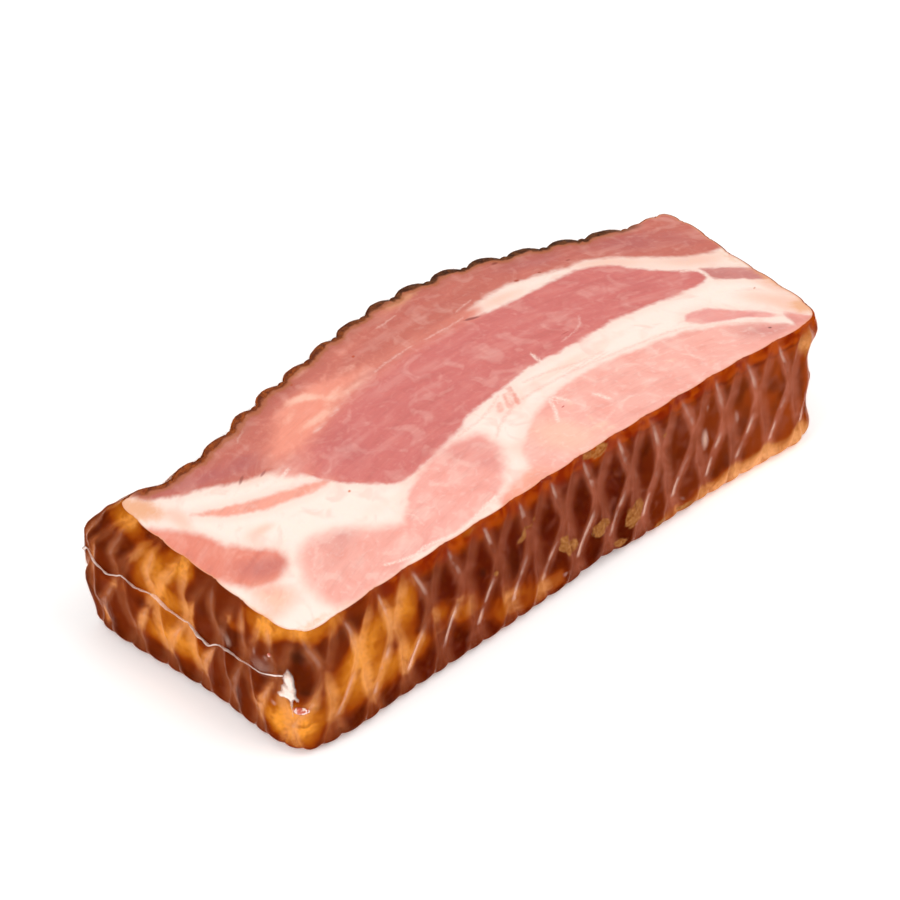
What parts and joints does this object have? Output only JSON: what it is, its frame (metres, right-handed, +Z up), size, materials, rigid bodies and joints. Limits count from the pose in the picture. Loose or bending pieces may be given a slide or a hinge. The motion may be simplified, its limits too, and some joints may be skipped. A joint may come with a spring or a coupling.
{
  "type": "bacon pack",
  "caption": "Slab of netted smoked bacon, cut face up, shrink-wrapped in tight clear film with a welded fin along each short end.",
  "frame": {"origin": "middle of the underside, at the centre of the bounding box in plan, on the plane it rests on", "axes": "+X along the slab's length, front wall towards -Y, +Z up out of the cut face"},
  "size_m": [0.2538, 0.1149, 0.048],
  "materials": {
    "smoked_meat_under_film": "smoked rind and cut meat seen through glossy film",
    "clear_film": "glossy clear shrink film"
  },
  "bodies": {
    "root": {"bacon_pack": "smoked_meat_under_film"}
  },
  "joints": []
}
